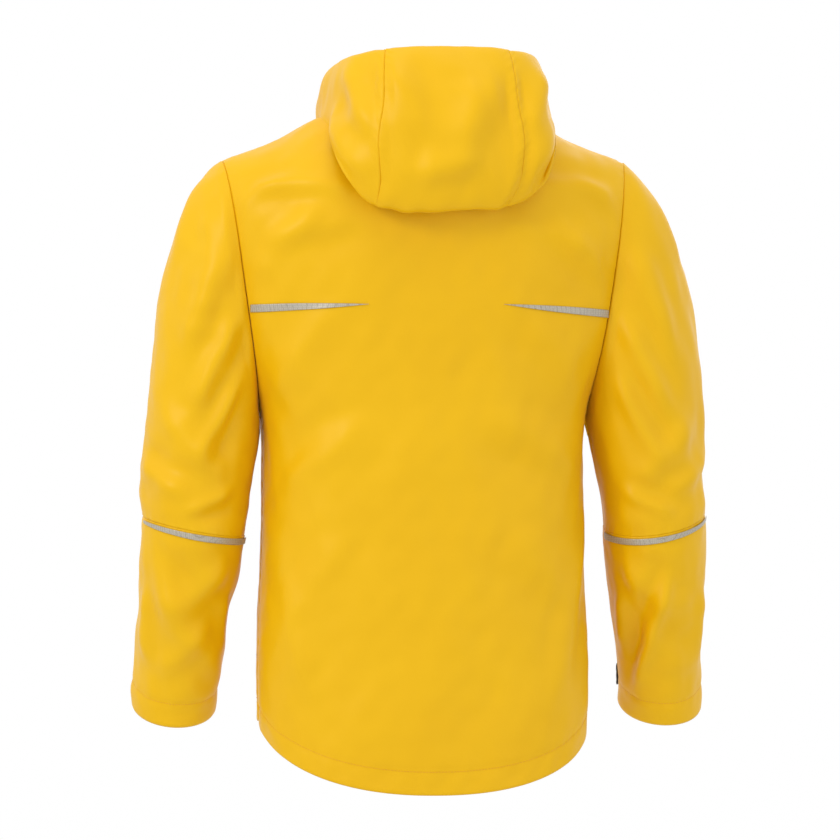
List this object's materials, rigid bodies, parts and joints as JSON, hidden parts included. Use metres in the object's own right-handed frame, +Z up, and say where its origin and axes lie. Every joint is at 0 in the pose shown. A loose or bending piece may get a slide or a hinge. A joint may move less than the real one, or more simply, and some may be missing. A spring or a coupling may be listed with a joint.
{
  "type": "foul weather jacket",
  "caption": "Hooded waterproof sailing jacket, shown filled as if worn, hood down on the back, dropped tail, reflective strips.",
  "frame": {"origin": "front of the webbing hanging loop inside the back of the neck", "axes": "+Z up, the front of the jacket faces -Y, the wearer's left is +X"},
  "size_m": [0.653, 0.2987, 0.851],
  "materials": {
    "shell_fabric": "satin coated polyester",
    "lining_fabric": "matt taffeta and mesh",
    "reflective_tape": "retroreflective film",
    "brushed_tricot": "brushed knit",
    "webbing": "woven tape",
    "zip_tape": "woven tape with moulded teeth",
    "zip_metal": "satin plated zinc",
    "dark_rubber": "moulded matt",
    "hook_and_loop": "hook and loop pile"
  },
  "bodies": {
    "shell": {"back_panel": "shell_fabric", "collar_outer": "shell_fabric", "hood_neck_band": "shell_fabric", "hem_facing_back": "shell_fabric", "inner_zip_guard": "shell_fabric", "lining_back": "lining_fabric", "collar_lining": "lining_fabric", "chin_guard": "brushed_tricot", "neck_patch": "brushed_tricot", "hang_loop": "webbing", "main_zip_left": "zip_tape", "main_zip_right": "zip_tape", "main_zip_retainer": "zip_tape", "front_panel_left": "shell_fabric", "hem_facing_left": "shell_fabric", "lining_front_left": "lining_fabric", "pocket_bag_left": "lining_fabric", "back_strip_left": "reflective_tape", "pocket_zip_left": "zip_tape", "hem_eyelet_left": "zip_metal", "front_panel_right": "shell_fabric", "hem_facing_right": "shell_fabric", "lining_front_right": "lining_fabric", "pocket_bag_right": "lining_fabric", "back_strip_right": "reflective_tape", "pocket_zip_right": "zip_tape", "hem_eyelet_right": "zip_metal"},
    "hood": {"hood_centre_panel": "shell_fabric", "hood_side_left": "shell_fabric", "hood_side_right": "shell_fabric", "hood_lining": "lining_fabric"},
    "main_slider": {"main_zip_slider": "zip_metal"},
    "main_pull": {"main_zip_pull": "dark_rubber"},
    "left_upper_arm": {"sleeve_upper_left": "shell_fabric", "sleeve_lining_upper_left": "lining_fabric"},
    "left_forearm": {"sleeve_lower_left": "shell_fabric", "sleeve_lining_lower_left": "lining_fabric", "elbow_strip_left": "reflective_tape", "cuff_loop_patch_left": "hook_and_loop"},
    "left_cuff_tab": {"cuff_tab_left": "dark_rubber", "cuff_hook_patch_left": "hook_and_loop"},
    "left_pocket_slider": {"pocket_slider_left": "zip_metal"},
    "left_pocket_pull": {"pocket_pull_left": "dark_rubber"},
    "right_upper_arm": {"sleeve_upper_right": "shell_fabric", "sleeve_lining_upper_right": "lining_fabric"},
    "right_forearm": {"sleeve_lower_right": "shell_fabric", "sleeve_lining_lower_right": "lining_fabric", "elbow_strip_right": "reflective_tape", "cuff_loop_patch_right": "hook_and_loop"},
    "right_cuff_tab": {"cuff_tab_right": "dark_rubber", "cuff_hook_patch_right": "hook_and_loop"},
    "right_pocket_slider": {"pocket_slider_right": "zip_metal"},
    "right_pocket_pull": {"pocket_pull_right": "dark_rubber"}
  },
  "joints": [
    {"name": "hood_raise", "type": "hinge", "parent": "shell", "child": "hood", "pos_m": [0, -0.03612, 0.016], "axis": [1, 0, 0], "range_deg": [0, 100]},
    {"name": "main_zip_slide", "type": "slide", "parent": "shell", "child": "main_slider", "axis": [0, 0, -1], "range_m": [0, 0.642]},
    {"name": "main_pull_swing", "type": "hinge", "parent": "main_slider", "child": "main_pull", "pos_m": [0, -0.16645, -0.0141], "axis": [-1, 0, 0], "range_deg": [0, 120]},
    {"name": "left_sleeve_raise", "type": "hinge", "parent": "shell", "child": "left_upper_arm", "pos_m": [0.231, -0.03612, -0.042], "axis": [0, -1, 0], "range_deg": [0, 45]},
    {"name": "left_elbow_bend", "type": "hinge", "parent": "left_upper_arm", "child": "left_forearm", "pos_m": [0.2645, -0.10912, -0.464], "axis": [-1, 0, 0], "range_deg": [0, 60]},
    {"name": "left_cuff_tab_peel", "type": "hinge", "parent": "left_forearm", "child": "left_cuff_tab", "pos_m": [0.2266, -0.11766, -0.62388], "axis": [0.0886, -0.3288, -0.9402], "range_deg": [0, 60]},
    {"name": "left_pocket_zip_slide", "type": "slide", "parent": "shell", "child": "left_pocket_slider", "axis": [0, 0, -1], "range_m": [0, 0.148]},
    {"name": "left_pocket_pull_swing", "type": "hinge", "parent": "left_pocket_slider", "child": "left_pocket_pull", "pos_m": [0.12158, -0.15078, -0.4261], "axis": [-0.9126, -0.4089, 0], "range_deg": [0, 110]},
    {"name": "right_sleeve_raise", "type": "hinge", "parent": "shell", "child": "right_upper_arm", "pos_m": [-0.231, -0.03612, -0.042], "axis": [0, 1, 0], "range_deg": [0, 45]},
    {"name": "right_elbow_bend", "type": "hinge", "parent": "right_upper_arm", "child": "right_forearm", "pos_m": [-0.2645, -0.10912, -0.464], "axis": [-1, 0, 0], "range_deg": [0, 60]},
    {"name": "right_cuff_tab_peel", "type": "hinge", "parent": "right_forearm", "child": "right_cuff_tab", "pos_m": [-0.2266, -0.11766, -0.62388], "axis": [0.0886, 0.3288, 0.9402], "range_deg": [0, 60]},
    {"name": "right_pocket_zip_slide", "type": "slide", "parent": "shell", "child": "right_pocket_slider", "axis": [0, 0, -1], "range_m": [0, 0.148]},
    {"name": "right_pocket_pull_swing", "type": "hinge", "parent": "right_pocket_slider", "child": "right_pocket_pull", "pos_m": [-0.12158, -0.15078, -0.4261], "axis": [-0.9126, 0.4089, 0], "range_deg": [0, 110]}
  ]
}
